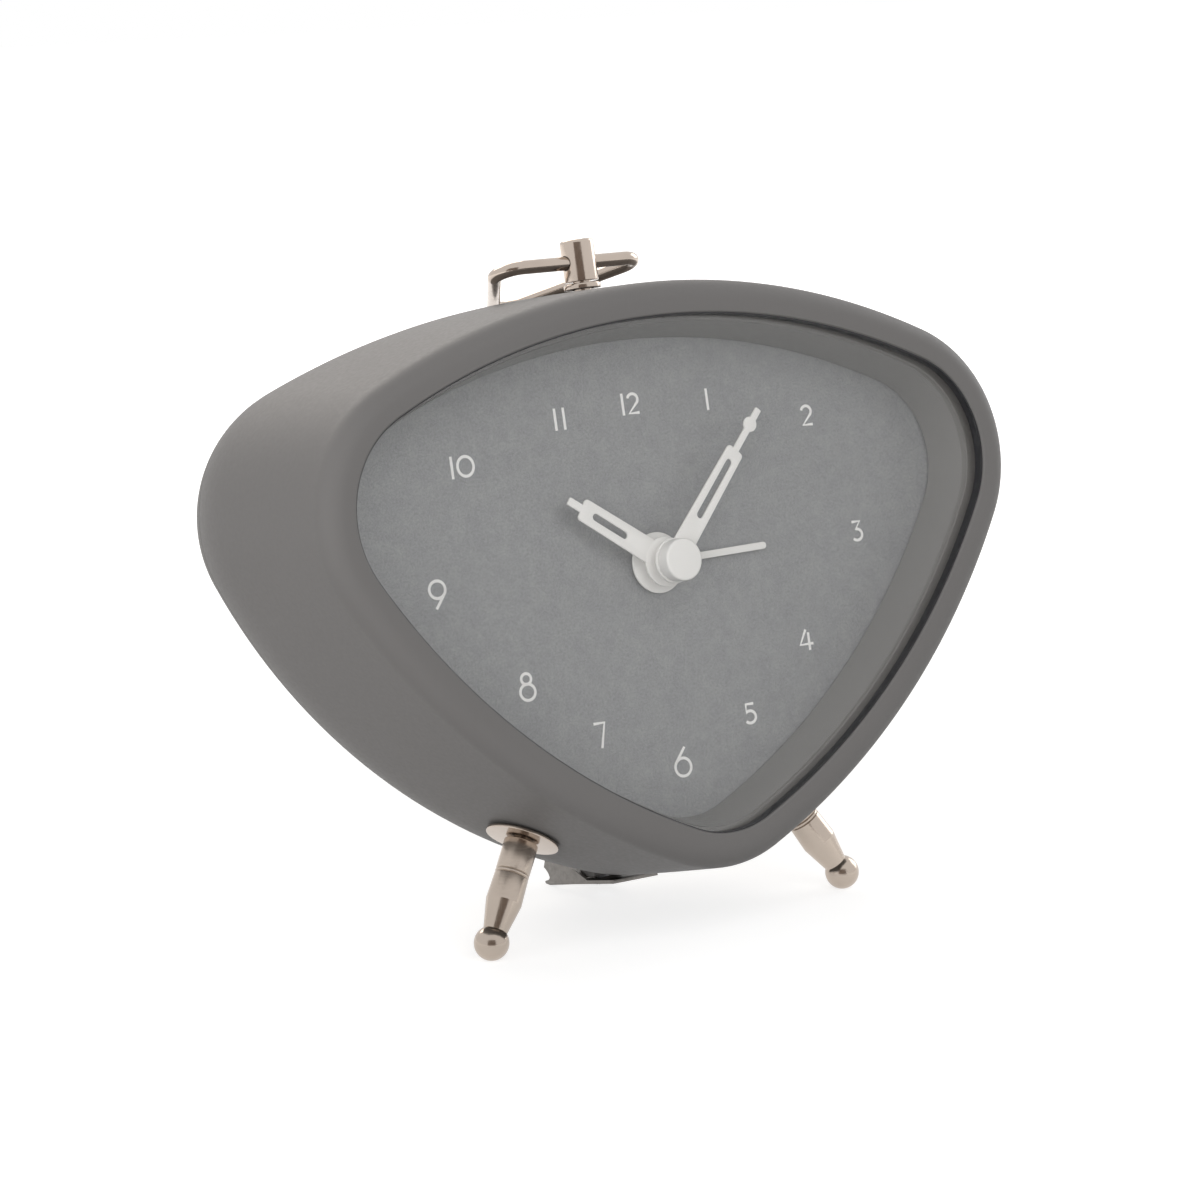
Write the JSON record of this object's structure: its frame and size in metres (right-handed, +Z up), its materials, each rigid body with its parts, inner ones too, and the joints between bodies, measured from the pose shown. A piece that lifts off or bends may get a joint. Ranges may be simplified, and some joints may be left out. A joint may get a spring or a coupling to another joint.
{
  "type": "alarm clock",
  "caption": "Triangular alarm clock on two ball-footed legs and a rear stand, with a wire bail on a post, slotted hands and a battery movement.",
  "frame": {"origin": "centre of the bounding box, on the surface that the clock stands on", "axes": "+X to the right of someone who reads the dial, +Y away from them through the clock, +Z up"},
  "size_m": [0.1326, 0.0648, 0.1056],
  "materials": {
    "grey_paint": "smooth matt warm grey paint",
    "grey_plastic": "matt moulded plastic in the grey of the case",
    "clear_lens": "clear, polished",
    "taupe_plastic": "satin taupe moulding",
    "dark_rubber": "matt black",
    "dial_metal": "fine metallic blue-grey",
    "hand_enamel": "smooth off-white enamel",
    "satin_nickel": "satin, turned, slightly warm",
    "bright_nickel": "polished, slightly warm",
    "zinc": "zinc plated",
    "brass": "turned and stamped, clean",
    "copper": "lacquered copper wire, close wound",
    "black_plastic": "moulded, matt black",
    "natural_plastic": "moulded, natural white",
    "green_board": "green solder resist",
    "cell_jacket": "plain printed jacket, dark blue",
    "red_plastic": "flexible red insulation"
  },
  "bodies": {
    "clock": {"back_cover": "grey_plastic", "bail_post": "bright_nickel", "battery_cell": "cell_jacket", "black_lead": "black_plastic", "buzzer": "black_plastic", "case_shell": "grey_paint", "chassis": "black_plastic", "chip": "black_plastic", "circuit_board": "green_board", "coil_bobbin": "natural_plastic", "coil_winding": "copper", "cover_screw_bottom": "zinc", "cover_screw_left": "zinc", "cover_screw_right": "zinc", "dial_carrier": "black_plastic", "dial_plate": "dial_metal", "inner_bezel": "taupe_plastic", "leg_left": "satin_nickel", "leg_nut_left": "zinc", "leg_nut_right": "zinc", "leg_right": "satin_nickel", "leg_washer_left": "bright_nickel", "leg_washer_right": "bright_nickel", "lens": "clear_lens", "lens_gasket": "dark_rubber", "minus_contact": "zinc", "movement_housing": "natural_plastic", "movement_plate": "natural_plastic", "movement_screw_left": "zinc", "movement_screw_right": "zinc", "plus_contact": "zinc", "post_collar": "bright_nickel", "post_nut": "zinc", "quartz_can": "zinc", "rear_stand": "satin_nickel", "red_lead": "red_plastic", "stand_screw": "zinc", "stator": "zinc"},
    "bail_ring": {"bail": "bright_nickel"},
    "minute": {"centre_arbor": "brass", "minute_hand": "hand_enamel", "hand_cap": "hand_enamel"},
    "hour": {"hour_wheel": "natural_plastic", "hour_hand": "hand_enamel"},
    "motion": {"minute_wheel": "natural_plastic", "time_knob": "black_plastic"},
    "alarm": {"alarm_wheel": "natural_plastic", "alarm_hand": "hand_enamel"},
    "alarm_setting": {"alarm_pinion": "natural_plastic", "alarm_knob": "black_plastic"},
    "centre": {"centre_wheel": "brass"},
    "third": {"third_wheel": "natural_plastic"},
    "fourth": {"fourth_wheel": "natural_plastic"},
    "fifth": {"fifth_wheel": "natural_plastic"},
    "rotor_body": {"rotor": "zinc"},
    "switch": {"alarm_switch": "black_plastic"},
    "door": {"battery_door": "grey_plastic"}
  },
  "joints": [
    {"name": "bail_swing", "type": "hinge", "parent": "clock", "child": "bail_ring", "pos_m": [0, 0.01036, 0.10166], "axis": [1, 0, 0], "range_deg": [0, 155]},
    {"name": "minute_turn", "type": "hinge", "parent": "clock", "child": "minute", "pos_m": [0, -0.00998, 0.05685], "axis": [0, 0.9703, -0.2419], "continuous": true},
    {"name": "hour_turn", "type": "hinge", "parent": "clock", "child": "hour", "pos_m": [0, -0.00998, 0.05685], "axis": [0, 0.9703, -0.2419], "continuous": true},
    {"name": "motion_turn", "type": "hinge", "parent": "clock", "child": "motion", "pos_m": [0.00819, -0.00167, 0.04886], "axis": [0, 0.9703, -0.2419], "continuous": true},
    {"name": "alarm_turn", "type": "hinge", "parent": "clock", "child": "alarm", "pos_m": [0, -0.00998, 0.05685], "axis": [0, 0.9703, -0.2419], "continuous": true},
    {"name": "alarm_setting_turn", "type": "hinge", "parent": "clock", "child": "alarm_setting", "pos_m": [-0.0086, -0.00174, 0.04858], "axis": [0, 0.9703, -0.2419], "continuous": true},
    {"name": "rotor_turn", "type": "hinge", "parent": "clock", "child": "rotor_body", "pos_m": [0.01527, 0.00039, 0.05711], "axis": [0, 0.9703, -0.2419], "continuous": true},
    {"name": "fifth_turn", "type": "hinge", "parent": "clock", "child": "fifth", "pos_m": [0.01311, 0.00182, 0.06285], "axis": [0, 0.9703, -0.2419], "continuous": true},
    {"name": "fourth_turn", "type": "hinge", "parent": "clock", "child": "fourth", "pos_m": [0.00675, 0.00271, 0.06642], "axis": [0, 0.9703, -0.2419], "continuous": true},
    {"name": "third_turn", "type": "hinge", "parent": "clock", "child": "third", "pos_m": [-0.00164, 0.00197, 0.06346], "axis": [0, 0.9703, -0.2419], "continuous": true},
    {"name": "centre_turn", "type": "hinge", "parent": "clock", "child": "centre", "pos_m": [0, -0.00998, 0.05685], "axis": [0, 0.9703, -0.2419], "continuous": true},
    {"name": "alarm_switch_slide", "type": "slide", "parent": "clock", "child": "switch", "axis": [0, 0.2419, 0.9703], "range_m": [0, 0.004]},
    {"name": "door_swing", "type": "hinge", "parent": "clock", "child": "door", "pos_m": [0, 0.02695, 0.0566], "axis": [-1, 0, 0], "range_deg": [0, 90]}
  ],
  "couplings": [
    {"joint": "hour_turn", "follows": "minute_turn", "ratio": 0.083333},
    {"joint": "motion_turn", "follows": "minute_turn", "ratio": -0.33333},
    {"joint": "alarm_setting_turn", "follows": "alarm_turn", "ratio": -2},
    {"joint": "fifth_turn", "follows": "rotor_turn", "ratio": -0.2},
    {"joint": "fourth_turn", "follows": "rotor_turn", "ratio": 0.033333},
    {"joint": "third_turn", "follows": "rotor_turn", "ratio": -0.0044444},
    {"joint": "centre_turn", "follows": "rotor_turn", "ratio": 0.00055556}
  ]
}
